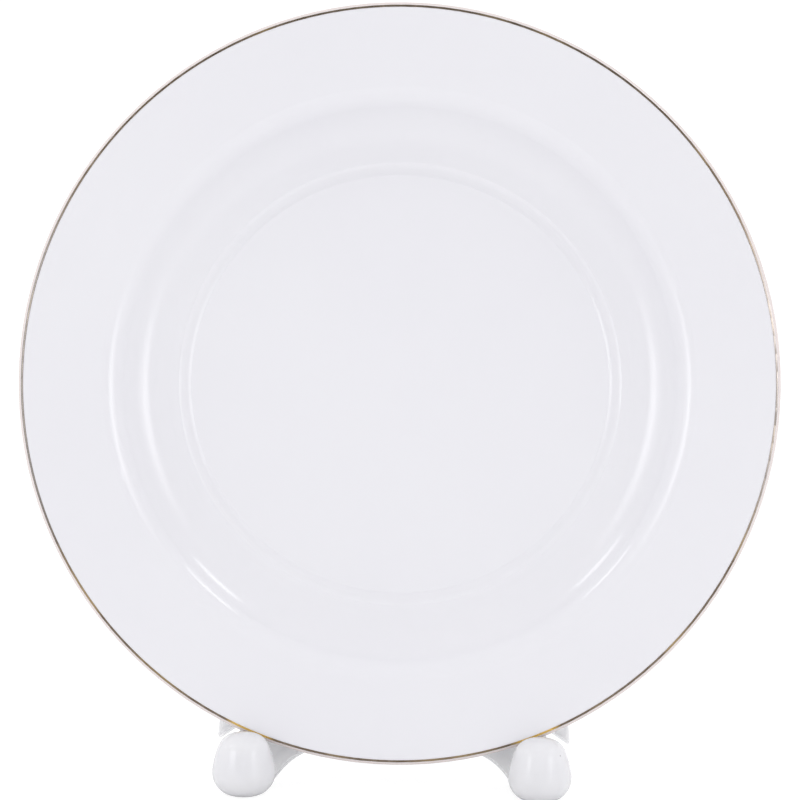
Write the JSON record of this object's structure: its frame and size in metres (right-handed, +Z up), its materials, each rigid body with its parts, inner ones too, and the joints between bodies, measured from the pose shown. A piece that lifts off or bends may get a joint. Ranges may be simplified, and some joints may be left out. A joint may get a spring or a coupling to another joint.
{
  "type": "dinner plate on stand",
  "caption": "Round white china dinner plate with a thin gold line inside the lip, leaning on a small white folding display stand with bulbous toes.",
  "frame": {"origin": "on the floor, at the middle of the part's bounding box seen from above", "axes": "+Z up, the plate faces -Y and leans back towards +Y, X runs across the stand"},
  "size_m": [0.254, 0.0949, 0.2572],
  "materials": {
    "china_body": "unglazed biscuit, smooth",
    "china_glaze": "gloss glaze",
    "gold": "burnished gold line",
    "stand_plastic": "gloss moulded plastic",
    "pin_metal": "bright drawn wire"
  },
  "bodies": {
    "stand": {"stand_frame": "stand_plastic", "hinge_pin": "pin_metal"},
    "prop_leg": {"rear_strut": "stand_plastic"},
    "plate": {"plate_body": "china_body", "plate_glaze": "china_glaze", "underside_glaze": "china_glaze", "gold_line": "gold"}
  },
  "joints": [
    {"name": "plate_lift", "type": "slide", "parent": "stand", "child": "plate", "axis": [0, 0.2079, 0.9781], "range_m": [0, 0.1]},
    {"name": "strut_fold", "type": "hinge", "parent": "stand", "child": "prop_leg", "pos_m": [0, 0.01273, 0.05735], "axis": [-1, 0, 0], "range_deg": [0, 56]}
  ]
}
